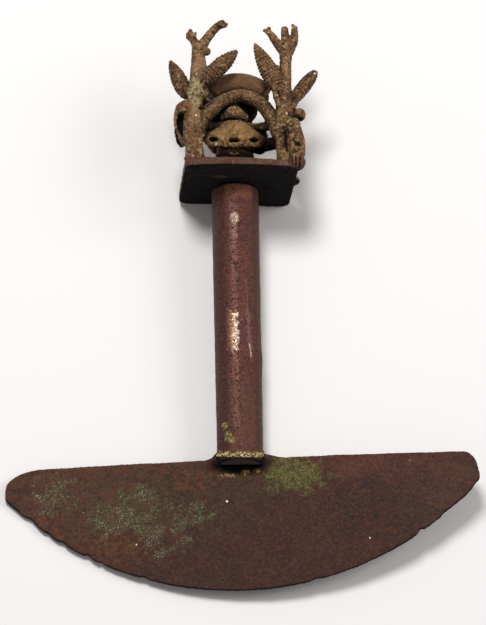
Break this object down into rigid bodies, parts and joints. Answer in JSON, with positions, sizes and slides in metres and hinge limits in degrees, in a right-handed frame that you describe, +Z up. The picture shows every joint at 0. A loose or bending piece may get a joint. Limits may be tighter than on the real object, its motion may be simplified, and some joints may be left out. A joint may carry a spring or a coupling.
{
  "type": "ceremonial knife",
  "caption": "Andean copper tumi: crescent blade slotted into a round handle, with a cast finial of maize plants around a caped figure under an arch, lying on its back.",
  "frame": {"origin": "middle of the footprint at the surface the knife lies on, under the centre of its bounding box", "axes": "+Y along the handle from the blade towards the finial, +X across the blade to the right as seen from above, +Z up out of the surface"},
  "size_m": [0.1472, 0.1854, 0.0339],
  "materials": {
    "blade_copper": "dark brown corroded copper with green patina, satin",
    "handle_copper": "reddish brown smoothed copper, half gloss, pitted",
    "finial_copper": "rough cast copper with earthy olive brown patina, matt"
  },
  "bodies": {
    "root": {"blade": "blade_copper", "handle": "handle_copper", "finial": "finial_copper"}
  },
  "joints": []
}
